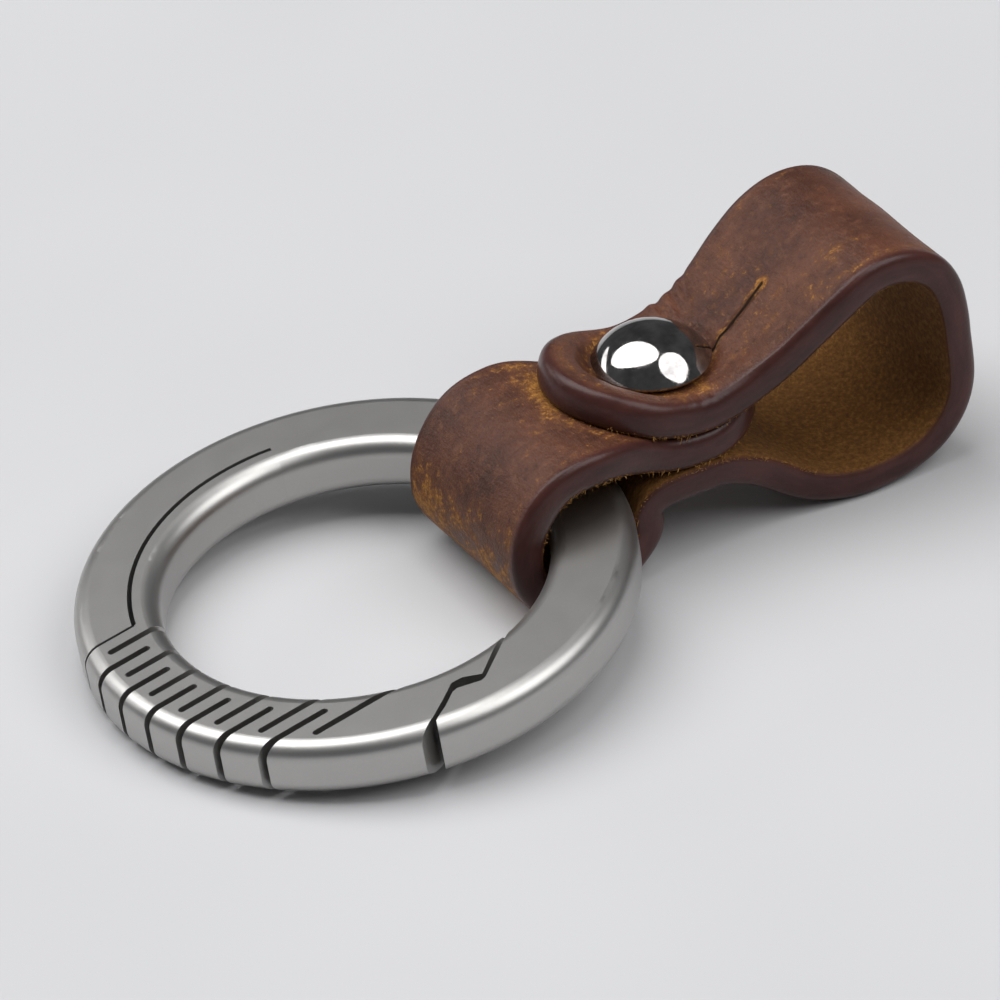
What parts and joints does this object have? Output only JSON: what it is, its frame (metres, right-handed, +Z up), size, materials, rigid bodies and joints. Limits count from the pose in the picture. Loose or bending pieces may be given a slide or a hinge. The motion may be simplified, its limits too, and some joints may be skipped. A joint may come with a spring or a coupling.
{
  "type": "spring gate key ring with leather strap",
  "caption": "One-piece metal key ring with a sprung inward gate, and a leather strap that loops round the bar and buttons shut over a domed stud.",
  "frame": {"origin": "centre of the outline seen from above, on the floor that the part lies on", "axes": "+Z up from the floor, +X along the strap from the ring towards the large loop, +Y to the strap's left"},
  "size_m": [0.054, 0.032, 0.0155],
  "materials": {
    "ring_metal": "bead-blasted satin, with softly rounded edges",
    "strap_leather": "pull-up leather, brown with golden scuffs, suede on the inside and burnished edges",
    "stud_metal": "mirror-polished dark nickel"
  },
  "bodies": {
    "ring": {"ring_body": "ring_metal", "leaf_spring": "ring_metal"},
    "spring_link": {"serpentine_spring": "ring_metal"},
    "gate": {"gate_arm": "ring_metal"},
    "ring_wrap": {"strap_ring_wrap": "strap_leather"},
    "strap": {"strap_button_end": "strap_leather", "strap_lower_run": "strap_leather", "strap_loop": "strap_leather", "stud_head": "stud_metal", "stud_screw": "stud_metal"},
    "flap": {"strap_flap": "strap_leather"}
  },
  "joints": [
    {"name": "leaf_flex", "type": "hinge", "parent": "ring", "child": "spring_link", "pos_m": [-0.01714, 0.01007, 0.00256], "axis": [-0.0889, 0, 0.996], "range_deg": [0, 2], "stiffness_Nm_per_rad": 0.9, "deforming": ["leaf_spring"]},
    {"name": "gate_flex", "type": "hinge", "parent": "spring_link", "child": "gate", "pos_m": [-0.02369, -0.0045, 0.00198], "axis": [-0.0889, 0, 0.996], "range_deg": [0, 12], "stiffness_Nm_per_rad": 0.15, "deforming": ["serpentine_spring"]},
    {"name": "strap_slide", "type": "hinge", "parent": "ring", "child": "ring_wrap", "pos_m": [-0.01101, 0, 0.00311], "axis": [-0.0889, 0, 0.996], "continuous": true},
    {"name": "strap_swing", "type": "hinge", "parent": "ring_wrap", "child": "strap", "pos_m": [0.00247, 0, 0.00431], "axis": [0, -1, 0], "range_deg": [-20, 40], "deforming": ["strap_ring_wrap"]},
    {"name": "flap_unbutton", "type": "hinge", "parent": "strap", "child": "flap", "pos_m": [0.02101, 0, 0.0144], "axis": [0, 1, 0], "range_deg": [0, 60], "deforming": ["strap_flap"]}
  ],
  "couplings": [
    {"joint": "leaf_flex", "follows": "gate_flex", "ratio": 0.1}
  ]
}
